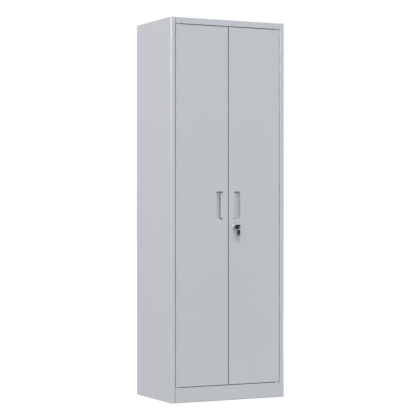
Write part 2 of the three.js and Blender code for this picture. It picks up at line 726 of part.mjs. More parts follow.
const floorFrontY = stopBackY + sheet.seam;
const floorDepth = backFrontY - sheet.seam - floorFrontY;
const floorMiddleY = floorFrontY + floorDepth / 2;
const floorTray = tray(insideX, floorDepth, floor.flange, floor.lip, sheet.bend);
piece('bottom_panel', floorTray, paint, carcass, [0, floorMiddleY, floorTopZ]);

const leftRail = railStrip();
const rails = { front: railFrontY, rear: railBackY };
for (const [where, y] of Object.entries(rails)) {
  piece(`left_${where}_shelf_rail`, leftRail, paint, carcass, [0, y, 0]);
  piece(`right_${where}_shelf_rail`, mirrored(leftRail), paint, carcass, [0, y, 0]);
}

// A shelf hangs on the slots just below its even share of the height
const shelfTray = tray(shelfHalfWidth, shelfBackY - shelfFrontY, shelf.height, shelf.lip, shelf.radius);
const leftClip = clipTab();
const rightClip = mirrored(leftClip);
for (let index = 0; index < shelf.count; index += 1) {
  const wanted = ((index + 1) * slotCount) / (shelf.count + 1);
  const seatZ = slotZ(Math.floor(wanted)) - clip.drop - clip.thickness / 2;
  const level = index + 1;
  const shelfZ = seatZ + sheet.seam + shelf.height;
  piece(`shelf_${level}`, shelfTray, paint, carcass, [0, (shelfFrontY + shelfBackY) / 2, shelfZ]);
  for (const [where, y] of Object.entries(rails)) {
    const clipY = y + rail.width / 2;
    piece(`shelf_${level}_clip_left_${where}`, leftClip, zinc, carcass, [-railX, clipY, seatZ]);
    piece(`shelf_${level}_clip_right_${where}`, rightClip, zinc, carcass, [railX, clipY, seatZ]);
  }
}

const lowerPin = hingePin();
const upperPin = lowerPin.clone().rotateX(Math.PI);
const lowerBush = hingeBush();
const upperBush = lowerBush.clone().rotateX(Math.PI);

const leftDoor = groupAt(whole, -hingeEdgeX, 0, 0);
const rightDoor = groupAt(whole, hingeEdgeX, 0, 0);
const doors = [['left', leftDoor, -1], ['right', rightDoor, 1]];
for (const [name, group, sign] of doors) {
  const hand = (geometry) => (sign > 0 ? mirrored(geometry) : geometry);
  piece(`${name}_lower_hinge_pin`, lowerPin, zinc, carcass, [sign * pivotX, pivotY, plinth.height]);
  piece(`${name}_upper_hinge_pin`, upperPin, zinc, carcass, [sign * pivotX, pivotY, ledgeTopZ]);
  const bushX = -sign * hinge.inset;
  piece(`${name}_lower_hinge_bush`, lowerBush, nylon, group, [bushX, pivotY, plinth.height]);
  piece(`${name}_upper_hinge_bush`, upperBush, nylon, group, [bushX, pivotY, ledgeTopZ]);
  const holes = [pullHole()];
  if (sign > 0) {
    const holeRadius = lock.barrelRadius + sheet.seam;
    const lockHole = bar(holeRadius, frontY - overrun, frontY + 2 * sheet.thickness, axisY);
    holes.push(lockHole.translate(fromHingeEdge(lockX), 0, lockZ));
    const low = doorBottomZ - overrun;
    const high = doorTopZ - 2 * sheet.thickness;
    const run = 2 * sheet.thickness + overrun;
    holes.push(rodSlot(fromHingeEdge(lockX + rodOffset), low, low + run, rod.play));
    holes.push(rodSlot(fromHingeEdge(lockX - rodOffset), high, high + run, rod.play));
  }
  piece(`${name}_door_panel`, hand(doorPanel(holes)), paint, group);
  piece(`${name}_pull_cup`, hand(pullCup()), paint, group, [-sign * fromHingeEdge(pullX), 0, 0]);
  piece(`${name}_door_stiffener`, doorStiffener(), paint, group, [(-sign * doorWidth) / 2, 0, 0]);
}

// The magnetic catch on the stop and its strike plate on the left door's upper lip
const magnetX = -door.centreGap / 2 - magnet.fromEdge;
const magnetZ = ledgeTopZ - stop.height + magnet.height / 2;
const strikeY = frontY + door.depth + sheet.seam;
const magnetFrontY = strikeY + magnet.strikeThickness + magnet.airGap;
const magnetBox = boxBetween(
  [magnetX - magnet.width / 2, magnetFrontY, magnetZ - magnet.height / 2],
  [magnetX + magnet.width / 2, frontY + stop.depth - sheet.seam, magnetZ + magnet.height / 2],
);
piece('magnetic_catch', magnetBox, magnetCase, carcass);
const strikeBox = boxBetween(
  [magnetX - magnet.width / 2 + hingeEdgeX, strikeY, magnetZ - magnet.height / 2],
  [magnetX + magnet.width / 2 + hingeEdgeX, strikeY + magnet.strikeThickness, doorTopZ - sheet.thickness],
);
piece('catch_strike_plate', strikeBox, zinc, leftDoor);

// The lock on the right door: barrel, nut and guides stay with the door
const lockPlace = groupAt(rightDoor, -fromHingeEdge(lockX), frontY, lockZ);
piece('lock_barrel', lockBarrel(), chrome, lockPlace);
piece('lock_nut', lockNut(), zinc, lockPlace);
const upperTipZ = doorTopZ - rod.tipInset - lockZ;
const lowerTipZ = doorBottomZ + rod.tipInset - lockZ;
piece('upper_rod_guide', rodGuide(), zinc, lockPlace, [-rodOffset, 0, upperTipZ - guide.fromEnd]);
piece('lower_rod_guide', rodGuide(), zinc, lockPlace, [rodOffset, 0, lowerTipZ + guide.fromEnd]);

// The turning core: plug, cam and the key's blade
piece('lock_plug', lockPlug(), chrome, lockPlace);
const camMesh = piece('lock_cam', lockCam(), zinc, lockPlace);
camMesh.rotation.y = -halfSwing;
const upperRod = lockRod(upperTipZ + pinRise);
piece('upper_lock_rod', upperRod, zinc, lockPlace, [-rodOffset, 0, -pinRise]);
const lowerRod = lockRod(pinRise - lowerTipZ).rotateY(Math.PI);
piece('lower_lock_rod', lowerRod, zinc, lockPlace, [rodOffset, 0, pinRise]);

// The key in the lock, its bow folded to the right, with the ring through its eye
const keyPlace = groupAt(lockPlace, 0, -key.reach, 0);
piece('key_blade', keyBlade(), nickel, keyPlace);
piece('key_bow', keyBow(), blackPlastic, keyPlace);

const eyeX = bow.length - eye.inset;
const halfBow = bow.thickness / 2;
const seat = eye.radius - ring.wire - eye.play;
const bowSag = ring.radius - Math.sqrt(ring.radius ** 2 - halfBow ** 2);
const ringCentreZ = -(seat - bowSag) - ring.radius;
const ringPlace = groupAt(keyPlace, eyeX, 0, ringCentreZ);
const ringTorus = new THREE.TorusGeometry(ring.radius, ring.wire, ringSteps.wire, ringSteps.round);
piece('key_ring', ringTorus.rotateY(Math.PI / 2), nickel, ringPlace);

// The spare hangs unfolded from the foot of the ring, turned about the upright
const twist = THREE.MathUtils.degToRad(spareTwist);
const slantRun = halfBow / Math.cos(twist);
const slantSide = slantRun * Math.sin(twist);
const slantSag = ring.radius - Math.sqrt(ring.radius ** 2 - slantRun ** 2);
const slantSeat = eye.radius - ring.wire / Math.cos(twist) - eye.play;
const spareDrop = Math.sqrt(slantSeat ** 2 - slantSide ** 2) - slantSag;
const sparePlace = groupAt(ringPlace, 0, 0, -ring.radius - spareDrop);
sparePlace.rotation.z = twist;
const spareUpright = groupAt(sparePlace);
spareUpright.rotation.y = -Math.PI / 2;
const spareFold = groupAt(spareUpright, -eyeX, 0, 0);
piece('spare_key_bow', keyBow(), blackPlastic, spareFold);
const spareBlade = piece('spare_key_blade', keyBlade(), nickel, spareFold);
spareBlade.rotation.z = Math.PI / 2;

export default cabinet;
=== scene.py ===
import json
import math

import bmesh
import bpy
from mathutils import Matrix, Vector


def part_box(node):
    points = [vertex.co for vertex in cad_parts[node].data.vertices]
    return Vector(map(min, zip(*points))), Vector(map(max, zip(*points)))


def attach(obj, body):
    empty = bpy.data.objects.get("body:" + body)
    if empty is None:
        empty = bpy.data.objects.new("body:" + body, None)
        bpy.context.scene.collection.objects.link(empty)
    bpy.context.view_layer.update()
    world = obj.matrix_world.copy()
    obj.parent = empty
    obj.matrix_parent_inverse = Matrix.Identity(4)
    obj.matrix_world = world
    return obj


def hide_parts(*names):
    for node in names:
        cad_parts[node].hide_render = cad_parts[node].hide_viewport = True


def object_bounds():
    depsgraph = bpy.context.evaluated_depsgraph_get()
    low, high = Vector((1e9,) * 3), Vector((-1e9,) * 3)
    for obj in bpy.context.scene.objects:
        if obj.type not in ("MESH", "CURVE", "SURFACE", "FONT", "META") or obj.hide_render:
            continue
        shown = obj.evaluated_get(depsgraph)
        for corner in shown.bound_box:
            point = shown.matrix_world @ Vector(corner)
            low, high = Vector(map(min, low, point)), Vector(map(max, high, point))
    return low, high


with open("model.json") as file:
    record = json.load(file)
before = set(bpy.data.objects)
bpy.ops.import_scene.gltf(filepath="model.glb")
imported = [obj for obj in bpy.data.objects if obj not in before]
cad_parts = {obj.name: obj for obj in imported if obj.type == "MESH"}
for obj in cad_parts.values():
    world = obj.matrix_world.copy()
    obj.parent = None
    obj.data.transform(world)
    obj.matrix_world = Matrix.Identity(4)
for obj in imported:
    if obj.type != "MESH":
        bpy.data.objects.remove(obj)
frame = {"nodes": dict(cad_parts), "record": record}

mm = 0.001
cadLow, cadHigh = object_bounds()
nodes = frame["nodes"]
bodies = frame["record"]["behaviour"]["bodies"]
bodyOf = {node: body for body, members in bodies.items() for node in members}
slotOf = {part["node"]: part["material_slot"] for part in frame["record"]["subparts"]}
inwardY, upZ = Vector((0, 1, 0)), Vector((0, 0, 1))
mergeDistance = 0.002 * mm
cornerAngle = 50
print("frame loaded,", len(nodes), "nodes")


# Shader helpers: every pattern is placed in metres on Object coordinates

def newMaterial(name, colour, roughness, metallic):
    material = bpy.data.materials.new(name)
    material.use_nodes = True
    tree = material.node_tree
    shader = tree.nodes["Principled BSDF"]
    shader.inputs["Base Color"].default_value = (*colour, 1)
    shader.inputs["Roughness"].default_value = roughness
    shader.inputs["Metallic"].default_value = metallic
    return material, tree, shader


def noiseOf(tree, size, detail=2.0, stretch=(1, 1, 1)):
    place = tree.nodes.new("ShaderNodeTexCoord").outputs["Object"]
    mapping = tree.nodes.new("ShaderNodeMapping")
    mapping.inputs["Scale"].default_value = stretch
    tree.links.new(place, mapping.inputs["Vector"])
    noise = tree.nodes.new("ShaderNodeTexNoise")
    noise.inputs["Scale"].default_value = 1 / size
    noise.inputs["Detail"].default_value = detail
    tree.links.new(mapping.outputs["Vector"], noise.inputs["Vector"])
    return noise.outputs["Fac"]


def spread(tree, value, low, high, lowIn=0.3, highIn=0.7):
    mapRange = tree.nodes.new("ShaderNodeMapRange")
    for socket, number in zip(("From Min", "From Max", "To Min", "To Max"), (lowIn, highIn, low, high)):
        mapRange.inputs[socket].default_value = number
    tree.links.new(value, mapRange.inputs["Value"])
    return mapRange.outputs["Result"]


def mixed(tree, factor, first, second):
    mix = tree.nodes.new("ShaderNodeMix")
    mix.data_type = "RGBA"
    tree.links.new(factor, mix.inputs[0])
    for socket, colour in ((mix.inputs[6], first), (mix.inputs[7], second)):
        if isinstance(colour, tuple):
            socket.default_value = (*colour, 1)
        else:
            tree.links.new(colour, socket)
    return mix.outputs[2]


def bumpOf(tree, height, depth, strength, under=None):
    bump = tree.nodes.new("ShaderNodeBump")
    bump.inputs["Distance"].default_value = depth
    bump.inputs["Strength"].default_value = strength
    tree.links.new(height, bump.inputs["Height"])
    if under:
        tree.links.new(under, bump.inputs["Normal"])
    return bump.outputs["Normal"]


# Light grey powder coat: a fine orange peel, a slow drift in shade, and cut edges where the coat is thin
powderCoat = {
    "colour": (0.50, 0.525, 0.555),
    "drift": (0.512, 0.535, 0.562),
    "driftSize": 0.42,
    "thinEdge": (0.60, 0.62, 0.64),
    "wearSize": 18 * mm,
    "wearShare": (0.25, 0.9),
    "peelSize": 1.7 * mm,
    "peelDepth": 0.025 * mm,
    "peelStrength": 0.45,
    "grainSize": 0.35 * mm,
    "grainDepth": 0.006 * mm,
    "grainStrength": 0.5,
    "roughness": (0.27, 0.35),
}


def makePowderCoat():
    p = powderCoat
    material, tree, shader = newMaterial("powder_coat", p["colour"], p["roughness"][1], 0)
    shade = mixed(tree, spread(tree, noiseOf(tree, p["driftSize"]), 0, 1), p["colour"], p["drift"])
    wear = tree.nodes.new("ShaderNodeAttribute")
    wear.attribute_name = "edgeWear"
    rubbed = tree.nodes.new("ShaderNodeMath")
    rubbed.operation = "MULTIPLY"
    tree.links.new(wear.outputs["Fac"], rubbed.inputs[0])
    tree.links.new(spread(tree, noiseOf(tree, p["wearSize"]), *p["wearShare"]), rubbed.inputs[1])
    tree.links.new(mixed(tree, rubbed.outputs[0], shade, p["thinEdge"]), shader.inputs["Base Color"])
    peel = noiseOf(tree, p["peelSize"], 1.5)
    grain = noiseOf(tree, p["grainSize"], 1.0)
    tree.links.new(spread(tree, peel, *p["roughness"]), shader.inputs["Roughness"])
    fine = bumpOf(tree, grain, p["grainDepth"], p["grainStrength"])
    tree.links.new(bumpOf(tree, peel, p["peelDepth"], p["peelStrength"], fine), shader.inputs["Normal"])
    return material


# Slow clouds in the colour, and fine marks that change both the gloss and the surface
def cloudAndMark(tree, shader, p, marks, depth, strength):
    cloud = spread(tree, noiseOf(tree, p["cloudSize"], 3.0), 0, 1)
    tree.links.new(mixed(tree, cloud, p["colour"], p["shade"]), shader.inputs["Base Color"])
    tree.links.new(spread(tree, marks, *p["roughness"]), shader.inputs["Roughness"])
    tree.links.new(bumpOf(tree, marks, depth, strength), shader.inputs["Normal"])


# Bare metals: rolled zinc and brushed nickel are marked along one way, satin chrome evenly
metals = {
    "zinc_steel": {
        "colour": (0.60, 0.61, 0.62), "shade": (0.50, 0.52, 0.54), "roughness": (0.28, 0.44),
        "cloudSize": 14 * mm, "markSize": 0.9 * mm, "markStretch": (1, 1, 0.08), "markDepth": 0.01 * mm,
    },
    "lock_chrome": {
        "colour": (0.66, 0.665, 0.675), "shade": (0.59, 0.60, 0.615), "roughness": (0.42, 0.52),
        "cloudSize": 5 * mm, "markSize": 0.5 * mm, "markStretch": (1, 1, 1), "markDepth": 0.003 * mm,
    },
    "key_nickel": {
        "colour": (0.47, 0.47, 0.46), "shade": (0.38, 0.38, 0.37), "roughness": (0.26, 0.40),
        "cloudSize": 4 * mm, "markSize": 0.35 * mm, "markStretch": (1, 1, 0.12), "markDepth": 0.006 * mm,
    },
}

# Moulded plastics: a fine eroded grain, duller in its hollows
throughReach = 1.5 * mm
plastics = {
    "key_plastic": {
        "colour": (0.004, 0.004, 0.005), "shade": (0.008, 0.008, 0.009), "roughness": (0.30, 0.42),
        "cloudSize": 6 * mm, "grainSize": 0.3 * mm, "grainDepth": 0.008 * mm, "through": 0, "shine": 0.14,
    },
    "nylon": {
        "colour": (0.76, 0.75, 0.71), "shade": (0.70, 0.69, 0.64), "roughness": (0.45, 0.58),
        "cloudSize": 4 * mm, "grainSize": 0.4 * mm, "grainDepth": 0.006 * mm, "through": 0.15, "shine": 0.5,
    },
    "magnet_case": {
        "colour": (0.030, 0.031, 0.034), "shade": (0.045, 0.046, 0.048), "roughness": (0.50, 0.66),
        "cloudSize": 9 * mm, "grainSize": 0.6 * mm, "grainDepth": 0.012 * mm, "through": 0, "shine": 0.4,
    },
}


def makeMetal(name, p):
    material, tree, shader = newMaterial(name, p["colour"], p["roughness"][0], 1)
    marks = noiseOf(tree, p["markSize"], 2.0, p["markStretch"])
    cloudAndMark(tree, shader, p, marks, p["markDepth"], 0.4)
    return material


def makePlastic(name, p):
    material, tree, shader = newMaterial(name, p["colour"], p["roughness"][0], 0)
    shader.inputs["Specular IOR Level"].default_value = p["shine"]
    shader.inputs["Subsurface Weight"].default_value = p["through"]
    shader.inputs["Subsurface Scale"].default_value = throughReach
    cloudAndMark(tree, shader, p, noiseOf(tree, p["grainSize"], 2.0), p["grainDepth"], 0.5)
    return material


finishes = {"painted_sheet": makePowderCoat()}
finishes.update({name: makeMetal(name, p) for name, p in metals.items()})
finishes.update({name: makePlastic(name, p) for name, p in plastics.items()})
for name, node in nodes.items():
    node.data.materials.clear()
    node.data.materials.append(finishes[slotOf[name]])
print("materials made:", ", ".join(finishes))


# Pieces: a bmesh becomes an object that rides a body, with rounded stretches smooth and corners kept

def newPiece(name, bm, body, slotName, corner=cornerAngle):
    for edge in bm.edges:
        edge.smooth = len(edge.link_faces) != 2 or edge.calc_face_angle() < math.radians(corner)
    for face in bm.faces:
        face.smooth = True
    mesh = bpy.data.meshes.new(name)
    bm.to_mesh(mesh)
    bm.free()
    mesh.materials.append(finishes[slotName])
    piece = bpy.data.objects.new(name, mesh)
    bpy.context.scene.collection.objects.link(piece)
    shading = piece.modifiers.new("even_shading", "WEIGHTED_NORMAL")
    shading.keep_sharp = True
    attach(piece, body)
    return piece


# A node's own form with its facets joined and its cut edges rounded, so that light runs along them
def roundedCopy(name, edge, corner, steps):
    bm = bmesh.new()
    bm.from_mesh(nodes[name].data)
    bmesh.ops.remove_doubles(bm, verts=bm.verts, dist=mergeDistance)
    bmesh.ops.dissolve_limit(bm, angle_limit=math.radians(0.4), verts=bm.verts, edges=bm.edges)
    wear = bm.faces.layers.float.new("edgeWear")
    sharp = [e for e in bm.edges if len(e.link_faces) == 2 and e.calc_face_angle() > math.radians(corner)]
    made = bmesh.ops.bevel(
        bm, geom=sharp, offset=edge, offset_type="OFFSET", segments=steps, profile=0.5,
        affect="EDGES", clamp_overlap=True, material=-1,
    )
    for face in made["faces"]:
        face[wear] = 1
    return bm


def finishedNode(name, settings, change=None):
    corner, steps = settings.get("corner", cornerAngle), settings.get("steps", 2)
    bm = roundedCopy(name, settings["edge"], corner, steps)
    if change:
        change(bm)
    piece = newPiece(name + "_" + settings["suffix"], bm, bodyOf[name], slotOf[name])
    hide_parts(name)
    return piece


foldedSheet = {"suffix": "sheet", "edge": 0.16 * mm}
for name in [n for n in nodes if slotOf[n] == "painted_sheet"]:
    finishedNode(name, foldedSheet)
print("folded sheets finished")

smallSteel = {"suffix": "pressed", "edge": 0.15 * mm, "steps": 1}
turnedPin = {"suffix": "turned", "edge": 0.35 * mm}
mouldedPlastic = {"suffix": "moulded", "edge": 0.3 * mm}
for name in [n for n in nodes if slotOf[n] == "zinc_steel" and "pin" not in n and n != "lock_nut"]:
    finishedNode(name, smallSteel)
for name in [n for n in nodes if "hinge_pin" in n or n == "lock_nut"]:
    finishedNode(name, turnedPin)
for name in [n for n in nodes if "hinge_bush" in n or n == "magnetic_catch"]:
    finishedNode(name, mouldedPlastic)
print("small steel and nylon finished")


# Turned pieces: a profile of radius and height, spun about an axis that runs into the cabinet

def spun(profile, place, steps):
    bm = bmesh.new()
    ring = [bm.verts.new((radius, 0, height)) for radius, height in profile]
    lines = [bm.edges.new(pair) for pair in zip(ring, ring[1:])]
    closed = profile[0][0] > 0 and profile[-1][0] > 0
    if closed:
        lines.append(bm.edges.new((ring[-1], ring[0])))
    bmesh.ops.spin(
        bm, geom=ring + lines, cent=(0, 0, 0), axis=(0, 0, 1), angle=math.tau, steps=steps, use_merge=True,
    )
    bmesh.ops.remove_doubles(bm, verts=bm.verts, dist=mergeDistance)
    bmesh.ops.recalc_face_normals(bm, faces=bm.faces)
    turn = upZ.rotation_difference(inwardY).to_matrix().to_4x4()
    bmesh.ops.transform(bm, matrix=Matrix.Translation(place) @ turn, verts=bm.verts)
    return bm


def combined(*parts):
    whole = bmesh.new()
    for part in parts:
        mesh = bpy.data.meshes.new("part")
        part.to_mesh(mesh)
        part.free()
        whole.from_mesh(mesh)
        bpy.data.meshes.remove(mesh)
    return whole


# The lock's barrel, with its rose, a thread for the nut and a rim at the plug
lockBarrel = {
    "boreRadius": 6.3 * mm, "roseRadius": 10 * mm, "roseHeight": 2.6 * mm, "bodyRadius": 8.5 * mm,
    "bodyEnd": 12 * mm, "threadPitch": 1.0 * mm, "threadDepth": 0.45 * mm, "threadStart": 1.6 * mm,
    "rim": 0.5 * mm, "seam": 0.3 * mm, "skirt": 0.3 * mm, "undercut": 0.2 * mm, "endBevel": 0.3 * mm,
}
# The rose's crown, in steps inward from its edge and back from its face
roseCrown = ((1.6 * mm, 0.25 * mm), (0.7 * mm, 0.75 * mm), (0.15 * mm, 1.5 * mm))


def makeLockBarrel():
    p = lockBarrel
    low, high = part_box("lock_barrel")
    axisPlace = Vector(((low.x + high.x) / 2, low.y + p["roseHeight"], (low.z + high.z) / 2))
    bore, rim, seam, end = p["boreRadius"], p["rim"], p["seam"], p["bodyEnd"]
    rose, top, root = p["roseRadius"], p["roseHeight"], p["bodyRadius"] - p["threadDepth"]
    profile = [(bore, rim / 2 - top), (bore + rim / 2, -top), (bore + 2 * rim, -top)]
    profile += [(rose - inward, back - top) for inward, back in roseCrown]
    profile += [(rose, -seam - p["skirt"]), (rose - p["undercut"], -seam), (p["bodyRadius"], -seam)]
    height = p["threadStart"]
    while height < end - p["threadPitch"]:
        profile += [(root, height), (p["bodyRadius"], height + p["threadPitch"] / 2)]
        height += p["threadPitch"]
    profile += [(root, end - p["endBevel"]), (root - p["endBevel"], end), (bore, end)]
    piece = newPiece("lock_barrel_turned", spun(profile, axisPlace, 64), "right_door", "lock_chrome")
    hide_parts("lock_barrel")


makeLockBarrel()
finishedNode("lock_plug", {"suffix": "turned", "edge": 0.25 * mm, "corner": 40})

# The screw and washer that hold the cam on the plug's tail
camScrew = {
    "washerRadius": 4.6 * mm, "washerThick": 0.6 * mm, "washerEdge": 0.1 * mm, "washerGap": 0.05 * mm,
    "headRadius": 3.4 * mm, "headHeight": 2.0 * mm, "headSide": 0.8 * mm, "headEdge": 0.5 * mm,
    "crown": 0.25 * mm, "socketRadius": 1.7 * mm, "socketTaper": 0.2 * mm, "socketDepth": 0.5 * mm,
    "drillPoint": 0.1 * mm,
}


def makeCamScrew():
    p = camScrew
    low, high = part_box("lock_plug")
    place = Vector(((low.x + high.x) / 2, high.y, (low.z + high.z) / 2))
    washer, thick, gap, edge = p["washerRadius"], p["washerThick"], p["washerGap"], p["washerEdge"]
    head, top, floor = p["headRadius"], p["headHeight"], p["headHeight"] - p["socketDepth"]
    profile = [
        (0, gap), (washer - edge, gap), (washer, gap + edge), (washer, thick - edge), (washer - edge, thick),
        (head, thick), (head, thick + p["headSide"]), (head - p["headEdge"], top),
        (p["socketRadius"], top + p["crown"]), (p["socketRadius"] - p["socketTaper"], floor),
        (0, floor - p["drillPoint"]),
    ]
    newPiece("cam_screw", spun(profile, place, 36), "lock_core", "zinc_steel")


makeCamScrew()
print("lock finished")


# Keys. Each is made about its folding pin: the bow runs along the frame's X.
keyBow = {
    "eyeInset": 6 * mm, "eyeAt": 21 * mm, "spareTwist": math.radians(38), "edge": 0.55 * mm,
    "panelRim": 1.3 * mm, "panelSlope": 0.25 * mm, "panelDepth": 0.35 * mm, "leastArea": 3 * mm * mm,
    "facing": 0.999,
}


def keyFrames():
    low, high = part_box("key_bow")
    bladeLow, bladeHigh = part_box("key_blade")
    pin = Vector(((bladeLow.x + bladeHigh.x) / 2, (low.y + high.y) / 2, (low.z + high.z) / 2))
    low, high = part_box("spare_key_bow")
    eye = Vector(((low.x + high.x) / 2, (low.y + high.y) / 2, high.z - keyBow["eyeInset"]))
    hang = Matrix.Translation(eye) @ Matrix.Rotation(keyBow["spareTwist"], 4, "Z")
    hang = hang @ Matrix.Rotation(-math.pi / 2, 4, "Y") @ Matrix.Translation((-keyBow["eyeAt"], 0, 0))
    return Matrix.Translation(pin), hang


# A bow's two flat sides get a sunk panel within a rim
def finishKeyBow(name, place):
    p = keyBow
    facing = (place.to_3x3() @ inwardY).normalized()

    def sinkPanels(bm):
        bm.normal_update()
        for side in (1, -1):
            outward = facing * side
            turned = [f for f in bm.faces if f.normal.dot(outward) > p["facing"]]
            flat = [f for f in turned if f.calc_area() > p["leastArea"]]
            for thickness, depth in ((p["panelRim"], 0), (p["panelSlope"], -p["panelDepth"])):
                bmesh.ops.inset_region(
                    bm, faces=flat, thickness=thickness, depth=depth, use_even_offset=True, use_boundary=True,
                )

    finishedNode(name, {"suffix": "moulded", "edge": p["edge"], "corner": 40, "steps": 3}, sinkPanels)


# Wedge cuts along one edge of a key's blade, and a milled groove on each face. In the blade's own frame it
# runs along Y, and its height is along Z.
keyCuts = {
    "depths": (1.5 * mm, 0.7 * mm, 1.9 * mm, 1.1 * mm, 0.6 * mm), "pitch": 1.9 * mm, "first": 12.9 * mm,
    "flatHalf": 0.35 * mm, "slope": 0.62, "halfHeight": 3.2 * mm, "mouthOver": 1 * mm, "cutHalf": 3 * mm,
    "bladeHalf": 1 * mm, "tip": 22.4 * mm, "grooveAt": 1.0 * mm, "grooveHalf": 0.6 * mm, "grooveFlare": 1.6,
    "grooveDepth": 0.45 * mm, "grooveOver": 0.5 * mm, "grooveLead": 1.6 * mm, "grooveRunout": 2 * mm,
}


def wedge(bm, outline, low, high, axis):
    face = bm.faces.new([bm.verts.new(point) for point in outline(low)])
    grown = bmesh.ops.extrude_face_region(bm, geom=[face])
    moved = [v for v in grown["geom"] if isinstance(v, bmesh.types.BMVert)]
    bmesh.ops.translate(bm, verts=moved, vec=Vector(axis) * (high - low))


# Cuts a bmesh's shape out of a piece, in the mesh itself
def carve(piece, bm, place):
    bmesh.ops.recalc_face_normals(bm, faces=bm.faces)
    bmesh.ops.transform(bm, matrix=place, verts=bm.verts)
    mesh = bpy.data.meshes.new("carver")
    bm.to_mesh(mesh)
    bm.free()
    carver = bpy.data.objects.new("carver", mesh)
    bpy.context.scene.collection.objects.link(carver)
    cutting = piece.modifiers.new("carve", "BOOLEAN")
    cutting.object = carver
    cutting.operation = "DIFFERENCE"
    cutting.solver = "EXACT"
    piece.modifiers.move(1, 0)
    graph = bpy.context.evaluated_depsgraph_get()
    piece.modifiers["even_shading"].show_viewport = False
    graph.update()
    shape = bpy.data.meshes.new_from_object(piece.evaluated_get(graph))
    piece.modifiers["even_shading"].show_viewport = True
    piece.modifiers.remove(cutting)
    piece.data = shape
    bpy.data.objects.remove(carver)


def finishKeyBlade(name, place):
    piece = finishedNode(name, {"suffix": "cut", "edge": 0.2 * mm, "steps": 1})
    p = keyCuts
    for index, depth in enumerate(p["depths"]):
        middle = p["first"] + index * p["pitch"]
        bottom = depth - p["halfHeight"]
        below = bottom - depth - p["mouthOver"]
        mouth = p["flatHalf"] + (depth + p["mouthOver"]) * p["slope"]

        def notch(x):
            return [
                (x, middle - mouth, below), (x, middle + mouth, below),
                (x, middle + p["flatHalf"], bottom), (x, middle - p["flatHalf"], bottom),
            ]

        cut = bmesh.new()
        wedge(cut, notch, -p["cutHalf"], p["cutHalf"], (1, 0, 0))
        carve(piece, cut, place)
    grooves = bmesh.new()
    for side in (1, -1):
        outer = side * (p["bladeHalf"] + p["grooveOver"])
        floor = side * (p["bladeHalf"] - p["grooveDepth"])

        def groove(y):
            half, at = p["grooveHalf"], p["grooveAt"]
            flare = p["grooveFlare"] * half
            return [
                (outer, y, at - flare), (outer, y, at + flare), (floor, y, at + half), (floor, y, at - half),
            ]

        wedge(grooves, groove, p["first"] - p["grooveLead"], p["tip"] + p["grooveRunout"], (0, 1, 0))
    carve(piece, grooves, place)


lockKey, spareKey = keyFrames()
finishKeyBow("key_bow", lockKey)
finishKeyBow("spare_key_bow", spareKey)
finishKeyBlade("key_blade", lockKey)
finishKeyBlade("spare_key_blade", spareKey @ Matrix.Rotation(math.pi / 2, 4, "Z"))

# A split ring: two turns of wire side by side
splitRing = {
    "radius": 9 * mm, "wire": 0.42 * mm, "pitch": 0.88 * mm, "turns": 2, "stepsEachTurn": 48, "sides": 10,
}


def makeSplitRing():
    p = splitRing
    low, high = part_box("key_ring")
    bm = bmesh.new()
    start = Vector((-p["pitch"] * p["turns"] / 2, 0, -p["radius"]))
    bmesh.ops.create_circle(bm, cap_ends=True, segments=p["sides"], radius=p["wire"], matrix=Matrix())
    bmesh.ops.rotate(bm, verts=bm.verts, cent=(0, 0, 0), matrix=Matrix.Rotation(math.pi / 2, 3, "X"))
    bmesh.ops.translate(bm, verts=bm.verts, vec=start)
    steps = p["turns"] * p["stepsEachTurn"]
    bmesh.ops.spin(
        bm, geom=bm.faces[:], cent=(0, 0, 0), axis=(1, 0, 0), dvec=(p["pitch"] * p["turns"] / steps, 0, 0),
        angle=math.tau * p["turns"], steps=steps,
    )
    bmesh.ops.remove_doubles(bm, verts=bm.verts, dist=mergeDistance)
    bmesh.ops.recalc_face_normals(bm, faces=bm.faces)
    bmesh.ops.translate(bm, verts=bm.verts, vec=(low + high) / 2)
    piece = newPiece("split_ring", bm, "ring", "key_nickel")
    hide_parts("key_ring")


makeSplitRing()
print("keys finished")


# Spot welds: low painted rings on the doors' stiffeners, shallow dimples on the sides' rear returns
spotWeld = {
    "radius": 2.6 * mm, "rise": 0.12 * mm, "foot": 0.1 * mm, "sink": 0.18 * mm, "pitch": 150 * mm,
    "endGap": 60 * mm, "flangeMiddle": 6 * mm, "flangeSheet": 0.8 * mm, "returnMiddle": 9 * mm,
}
weldRing = [
    (0, 0.3 * spotWeld["rise"]), (0.55 * spotWeld["radius"], 0.35 * spotWeld["rise"]),
    (0.8 * spotWeld["radius"], spotWeld["rise"]), (spotWeld["radius"], 0), (0, -spotWeld["foot"]),
]
weldDimple = [
    (0, -spotWeld["sink"]), (0.75 * spotWeld["radius"], -spotWeld["sink"]), (spotWeld["radius"], 0),
    (1.1 * spotWeld["radius"], spotWeld["sink"]), (0, spotWeld["sink"]),
]


def weldRow(profile, x, y, fromZ, toZ):
    length = toZ - fromZ - 2 * spotWeld["endGap"]
    count = int(length / spotWeld["pitch"])
    start = fromZ + spotWeld["endGap"]
    return [spun(profile, (x, y, start + length / count * k), 16) for k in range(count + 1)]


def makeWelds():
    p = spotWeld
    for hand in ("left", "right"):
        low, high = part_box(hand + "_door_stiffener")
        marks = []
        for x in (low.x + p["flangeMiddle"], high.x - p["flangeMiddle"]):
            marks += weldRow(weldRing, x, low.y + p["flangeSheet"], low.z, high.z)
        newPiece(hand + "_stiffener_welds", combined(*marks), hand + "_door", "painted_sheet", 80)
        low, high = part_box(hand + "_side_panel")
        x = low.x + p["returnMiddle"] if hand == "left" else high.x - p["returnMiddle"]
        dimples = weldRow(weldDimple, x, high.y, low.z, high.z)
        carve(bpy.data.objects[hand + "_side_panel_sheet"], combined(*dimples), Matrix())


makeWelds()

# The catch's pole plates, which stand in front of its case
polePlate = {
    "length": 30 * mm, "deep": 4 * mm, "thick": 1.2 * mm, "apart": 3 * mm, "proud": 0.3 * mm,
    "edge": 0.2 * mm,
}


